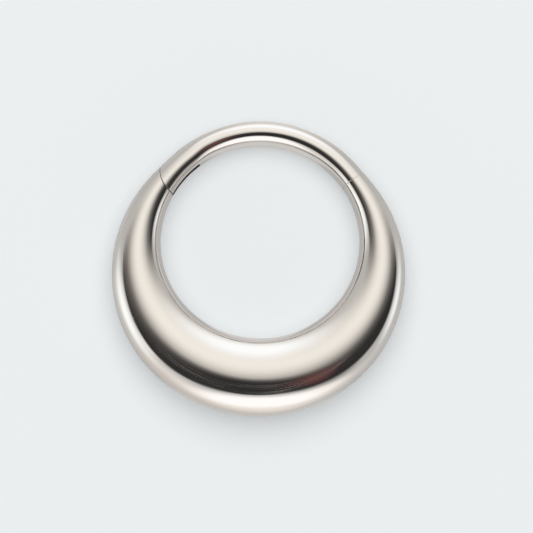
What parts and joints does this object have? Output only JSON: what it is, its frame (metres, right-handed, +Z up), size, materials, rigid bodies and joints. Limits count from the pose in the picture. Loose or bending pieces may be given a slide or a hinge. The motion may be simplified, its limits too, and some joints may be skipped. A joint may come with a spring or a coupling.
{
  "type": "fake gauge hinged hoop earring",
  "caption": "Polished crescent hoop earring that reads as a large stretched-lobe ring, with a slim hinged segment that snaps shut through an ordinary ear piercing.",
  "frame": {"origin": "centre of the ring's outline at the level of the surface that it lies on", "axes": "+Z up out of the surface, ring lying on its back crest; +Y towards the slim hinged side, -Y towards the wide crescent; +X towards the catch, hinge at -X"},
  "size_m": [0.014, 0.0144, 0.0025],
  "materials": {
    "crescent_steel": "mirror polish, warm silver",
    "segment_steel": "mirror polish, warm silver",
    "pin_steel": "polished flush"
  },
  "bodies": {
    "crescent": {"front_crescent": "crescent_steel"},
    "segment": {"hinged_segment": "segment_steel", "hinge_pin": "pin_steel"}
  },
  "joints": [
    {"name": "segment_hinge", "type": "hinge", "parent": "crescent", "child": "segment", "pos_m": [-0.00396, 0.00458, 0.00075], "axis": [0, 0.05, 0.9988], "range_deg": [0, 65]}
  ]
}
